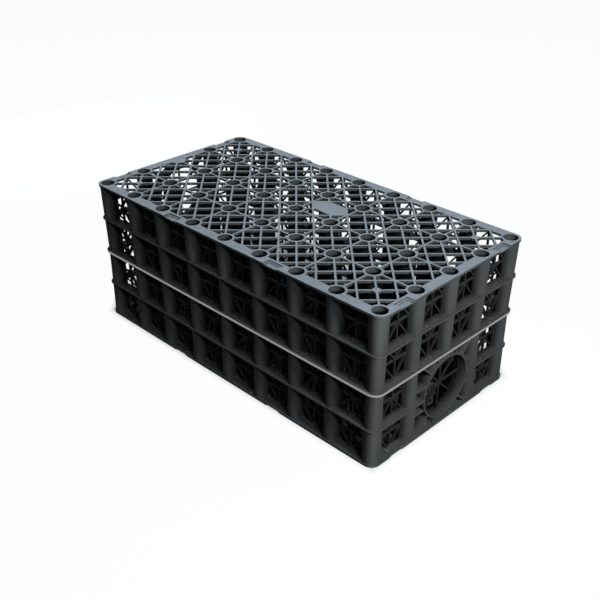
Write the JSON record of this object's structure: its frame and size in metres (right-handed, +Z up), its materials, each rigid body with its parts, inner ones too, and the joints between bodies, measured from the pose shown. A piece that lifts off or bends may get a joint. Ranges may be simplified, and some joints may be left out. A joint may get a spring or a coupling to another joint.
{
  "type": "soakaway crate",
  "caption": "Open lattice-walled plastic crate of clipped halves with hollow columns and a pipe ring at each end, laid underground to hold rainwater and let it soak away.",
  "frame": {"origin": "middle of the underside, on the surface that the crate stands on", "axes": "+Z up, X along the length with the lower half's pipe ring at +X, Y across the width"},
  "size_m": [1.01, 0.53, 0.4],
  "materials": {
    "lower_plastic": "satin moulded polypropylene",
    "upper_plastic": "satin moulded polypropylene"
  },
  "bodies": {
    "root": {"lower_half": "lower_plastic", "upper_half": "upper_plastic"}
  },
  "joints": []
}
